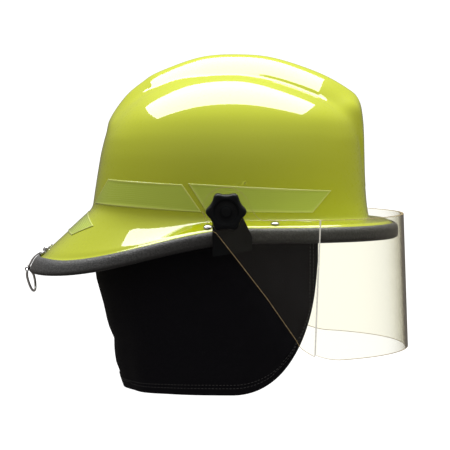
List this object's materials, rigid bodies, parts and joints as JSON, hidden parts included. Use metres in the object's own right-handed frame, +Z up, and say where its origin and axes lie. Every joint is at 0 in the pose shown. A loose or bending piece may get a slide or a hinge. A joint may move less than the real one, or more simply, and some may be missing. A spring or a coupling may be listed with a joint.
{
  "type": "firefighter helmet",
  "caption": "Firefighter helmet with raised-ridge crown, long rear brim, tilting clear face shield, black ear and neck protector, and adjustable head suspension.",
  "frame": {"origin": "centre of the head opening, level with the front brim edge, where the wearer's head sits", "axes": "+X to the wearer's front, +Y to the wearer's left, +Z up"},
  "size_m": [0.3828, 0.319, 0.3282],
  "materials": {
    "shell_gloss": "high-gloss fluorescent lime-yellow composite",
    "trim_vinyl": "charcoal textured vinyl edge trim",
    "reflective_trim": "lime retroreflective film under a clear face",
    "visor_clear": "clear pale amber polycarbonate",
    "protector_cloth": "black flame-resistant woven cloth, hemmed",
    "liner_foam": "grey impact foam",
    "comfort_fabric": "black knitted comfort padding",
    "webbing": "black woven nylon webbing",
    "chrome_steel": "bright nickel-plated steel",
    "nylon": "black satin moulded nylon",
    "moulded_black": "black moulded nylon, satin"
  },
  "bodies": {
    "helmet": {"shell": "shell_gloss", "edge_trim": "trim_vinyl", "reflective_panel_rear_right": "reflective_trim", "reflective_panel_front_right": "reflective_trim", "reflective_panel_rear_left": "reflective_trim", "reflective_panel_front_left": "reflective_trim", "reflective_panel_brim": "reflective_trim", "visor_bracket_right": "moulded_black", "bracket_screw_right": "chrome_steel", "pivot_bolt_right": "chrome_steel", "friction_washer_right": "nylon", "visor_bracket_left": "moulded_black", "bracket_screw_left": "chrome_steel", "pivot_bolt_left": "chrome_steel", "friction_washer_left": "nylon", "brim_rivet_front_right": "chrome_steel", "brim_rivet_rear_right": "chrome_steel", "brim_rivet_front_left": "chrome_steel", "brim_rivet_rear_left": "chrome_steel", "ring_clip": "chrome_steel", "clip_rivet": "chrome_steel", "ear_neck_protector": "protector_cloth", "impact_liner": "liner_foam", "suspension_key_front_left": "nylon", "suspension_key_side_left": "nylon", "suspension_key_rear_left": "nylon", "suspension_key_rear_right": "nylon", "suspension_key_side_right": "nylon", "suspension_key_front_right": "nylon", "crown_strap_left_diagonal": "webbing", "crown_strap_cross": "webbing", "crown_strap_right_diagonal": "webbing", "crown_pad": "comfort_fabric", "headband": "nylon", "brow_pad": "comfort_fabric", "chin_strap_left": "webbing", "chin_strap_right": "webbing", "buckle_socket": "moulded_black", "buckle_tongue": "moulded_black", "chin_strap_loop_right": "moulded_black", "chin_strap_loop_left": "moulded_black"},
    "visor": {"visor": "visor_clear"},
    "knob_right": {"knob_right": "moulded_black"},
    "knob_left": {"knob_left": "moulded_black"},
    "d_ring": {"d_ring": "chrome_steel"},
    "nape_cradle": {"nape_cradle": "nylon", "nape_pad": "comfort_fabric"},
    "ratchet_knob": {"ratchet_knob": "moulded_black"}
  },
  "joints": [
    {"name": "visor_hinge", "type": "hinge", "parent": "helmet", "child": "visor", "pos_m": [-0.005, 0, 0.024], "axis": [0, -1, 0], "range_deg": [0, 95]},
    {"name": "knob_right_turn", "type": "hinge", "parent": "helmet", "child": "knob_right", "pos_m": [-0.005, -0.1495, 0.024], "axis": [0, -1, 0], "range_deg": [0, 360]},
    {"name": "knob_left_turn", "type": "hinge", "parent": "helmet", "child": "knob_left", "pos_m": [-0.005, 0.1495, 0.024], "axis": [0, 1, 0], "range_deg": [0, 360]},
    {"name": "ring_swing", "type": "hinge", "parent": "helmet", "child": "d_ring", "pos_m": [-0.2034, 0, -0.0404], "axis": [0, 1, 0], "range_deg": [-20, 95]},
    {"name": "ratchet_turn", "type": "hinge", "parent": "nape_cradle", "child": "ratchet_knob", "pos_m": [-0.11, 0, -0.001], "axis": [1, 0, 0], "range_deg": [-180, 180]},
    {"name": "nape_slide", "type": "slide", "parent": "helmet", "child": "nape_cradle", "axis": [1, 0, 0], "range_m": [-0.01, 0.01]}
  ],
  "couplings": [
    {"joint": "nape_slide", "follows": "ratchet_turn", "m_per_rad": 0.00318}
  ]
}
